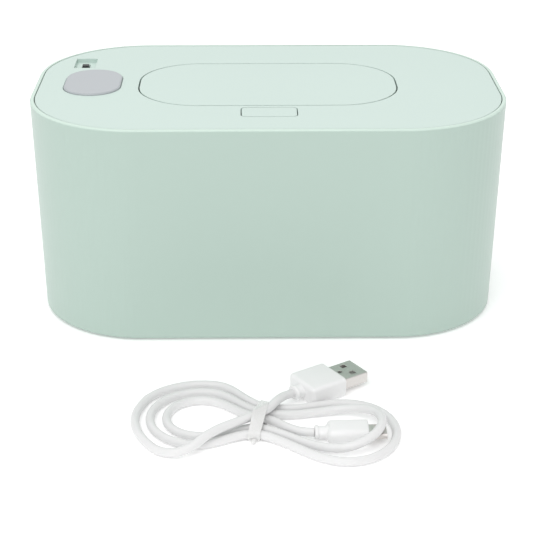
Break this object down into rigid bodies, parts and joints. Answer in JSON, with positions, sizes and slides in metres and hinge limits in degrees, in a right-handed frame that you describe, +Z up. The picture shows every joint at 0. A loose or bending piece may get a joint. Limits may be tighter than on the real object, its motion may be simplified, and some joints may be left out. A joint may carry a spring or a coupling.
{
  "type": "baby wipe warmer",
  "caption": "Rounded tub wipe warmer with a lift-off heating cover, a hinged flip lid with a latch, a heat button, a slide switch and a coiled USB lead.",
  "frame": {"origin": "On the floor under the middle of the body: the centre of the body's bounding box, at its base.", "axes": "+X to the right along the body's longest side, +Y to the back, +Z up along its shortest extent; the lead lies in front, on -Y."},
  "size_m": [0.2, 0.2205, 0.0942],
  "materials": {
    "shell_plastic": "satin, pale mint",
    "cover_plastic": "satin, pale mint",
    "tank_plastic": "satin white",
    "foam": "closed-cell foam",
    "screw_steel": "plain",
    "pin_steel": "ground",
    "spring_steel": "drawn wire",
    "soft_pad": "matte",
    "silicone": "satin, translucent white",
    "plate_metal": "rolled",
    "film_amber": "thin film",
    "board_green": "solder mask",
    "part_dark": "moulded",
    "part_light": "moulded",
    "wire_red": "insulated wire",
    "bead_green": "potted bead",
    "socket_steel": "bright",
    "button_grey": "satin",
    "lever_black": "matte",
    "lead_jacket": "soft satin white",
    "grip_plastic": "satin white",
    "plug_steel": "folded sheet"
  },
  "bodies": {
    "base": {"outer_shell": "shell_plastic", "inner_tank": "tank_plastic", "foam_sleeve": "foam", "tank_screws": "screw_steel", "foot_pads": "soft_pad"},
    "cover": {"cover_plate": "cover_plastic", "cover_tray": "tank_plastic", "tray_screws": "screw_steel", "cover_seal": "silicone", "heat_plate": "plate_metal", "heater_film": "film_amber", "temp_sensor": "bead_green", "heater_wires": "wire_red", "control_board": "board_green", "board_screws": "screw_steel", "power_socket": "socket_steel", "socket_tongue": "part_dark", "tact_switch": "part_dark", "slide_switch_case": "socket_steel", "status_led": "part_light", "dispensing_lip": "silicone", "hinge_pin": "pin_steel", "lid_springs": "spring_steel", "hook_pin": "pin_steel", "latch_spring": "spring_steel", "button_cushions": "silicone"},
    "lid": {"flip_lid": "cover_plastic", "lid_liner": "tank_plastic", "lid_gasket": "silicone"},
    "latch": {"latch_button": "cover_plastic"},
    "hook": {"latch_hook": "tank_plastic"},
    "heat_key": {"heat_button": "button_grey"},
    "switch": {"switch_lever": "lever_black"},
    "lead": {"lead_hank": "lead_jacket", "lead_tail": "lead_jacket", "lead_tie": "part_light", "usb_a_grip": "grip_plastic", "usb_a_shell": "plug_steel", "usb_a_tongue": "part_light", "usb_c_grip": "grip_plastic", "usb_c_tip": "plug_steel"}
  },
  "joints": [
    {"name": "cover_lift", "type": "slide", "parent": "base", "child": "cover", "axis": [0, 0, 1], "range_m": [0, 0.06]},
    {"name": "lid_hinge", "type": "hinge", "parent": "cover", "child": "lid", "pos_m": [0, 0.0352, 0.0902], "axis": [-1, 0, 0], "range_deg": [0, 100], "deforming": ["lid_springs"]},
    {"name": "latch_press", "type": "slide", "parent": "cover", "child": "latch", "axis": [0, 0, -1], "range_m": [0, 0.0009], "stiffness_N_per_m": 800, "deforming": ["latch_spring"]},
    {"name": "hook_swing", "type": "hinge", "parent": "cover", "child": "hook", "pos_m": [0, -0.0367, 0.0835], "axis": [1, 0, 0], "range_deg": [0, 7.5]},
    {"name": "heat_press", "type": "slide", "parent": "cover", "child": "heat_key", "axis": [0, 0, -1], "range_m": [0, 0.0005], "stiffness_N_per_m": 2000, "deforming": ["button_cushions"]},
    {"name": "switch_slide", "type": "slide", "parent": "cover", "child": "switch", "axis": [0, 1, 0], "range_m": [0, 0.0026]},
    {"name": "lead_lift", "type": "slide", "parent": "base", "child": "lead", "axis": [0, 0, 1], "range_m": [0, 0.06]}
  ],
  "couplings": [
    {"joint": "hook_swing", "follows": "latch_press", "rad_per_m": 140}
  ]
}
